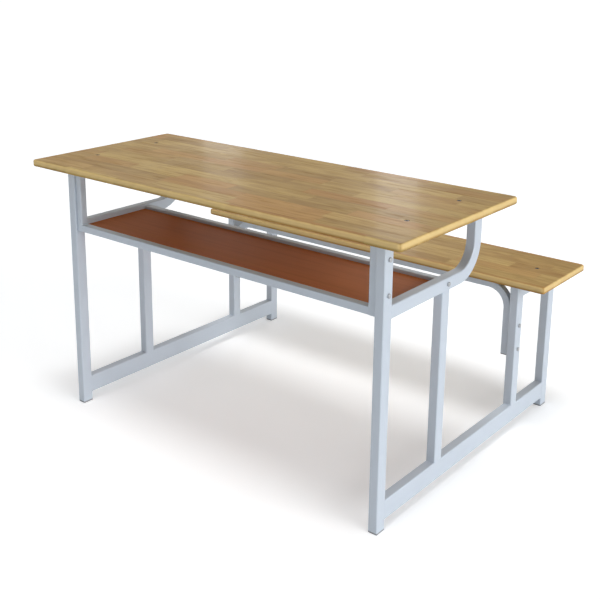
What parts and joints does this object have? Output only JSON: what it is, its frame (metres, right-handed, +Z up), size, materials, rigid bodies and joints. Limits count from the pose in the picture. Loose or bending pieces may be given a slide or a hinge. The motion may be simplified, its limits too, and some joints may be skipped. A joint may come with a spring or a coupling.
{
  "type": "student desk with chair",
  "caption": "Student desk with attached bench: varnished wooden top and seat on a silver tube frame, with an open book shelf under the top.",
  "frame": {"origin": "on the floor under the middle of the part's bounding box", "axes": "+X along the desk's length, +Y from the desk towards the bench, +Z up"},
  "size_m": [1.2, 0.954, 0.72],
  "materials": {
    "wood": "clear varnish over finger-jointed light staves",
    "shelf_laminate": "satin reddish-brown laminate on board",
    "frame_paint": "satin silver-grey powder coat",
    "cap_plastic": "moulded grey plastic",
    "bolt_zinc": "dull zinc plating"
  },
  "bodies": {
    "root": {"base_rail_left": "frame_paint", "base_rail_right": "frame_paint", "bench_front_post_left": "frame_paint", "bench_front_post_right": "frame_paint", "bench_rear_leg_left": "frame_paint", "bench_rear_leg_right": "frame_paint", "bench_seat": "wood", "bench_stretcher": "frame_paint", "desk_rail_left": "frame_paint", "desk_rail_right": "frame_paint", "desk_rear_post_left": "frame_paint", "desk_rear_post_right": "frame_paint", "desk_top": "wood", "desk_top_bolts": "bolt_zinc", "desk_top_nuts": "bolt_zinc", "front_foot_cap_left": "cap_plastic", "front_foot_cap_right": "cap_plastic", "front_leg_left": "frame_paint", "front_leg_right": "frame_paint", "rear_foot_cap_left": "cap_plastic", "rear_foot_cap_right": "cap_plastic", "seat_bolts": "bolt_zinc", "seat_nuts": "bolt_zinc", "seat_rail_left": "frame_paint", "seat_rail_right": "frame_paint", "shelf_arm_left": "frame_paint", "shelf_arm_right": "frame_paint", "shelf_board": "shelf_laminate", "shelf_end_post_left": "frame_paint", "shelf_end_post_right": "frame_paint", "shelf_front_rail": "frame_paint", "shelf_lugs": "frame_paint", "shelf_post_bolts": "bolt_zinc", "shelf_post_nuts": "bolt_zinc", "shelf_rail_bolts": "bolt_zinc", "shelf_rail_plugs": "bolt_zinc", "shelf_rear_rail": "frame_paint", "shelf_screws": "bolt_zinc", "stretcher_bolts": "bolt_zinc", "stretcher_cap_left": "cap_plastic", "stretcher_cap_right": "cap_plastic", "stretcher_nuts": "bolt_zinc"}
  },
  "joints": []
}
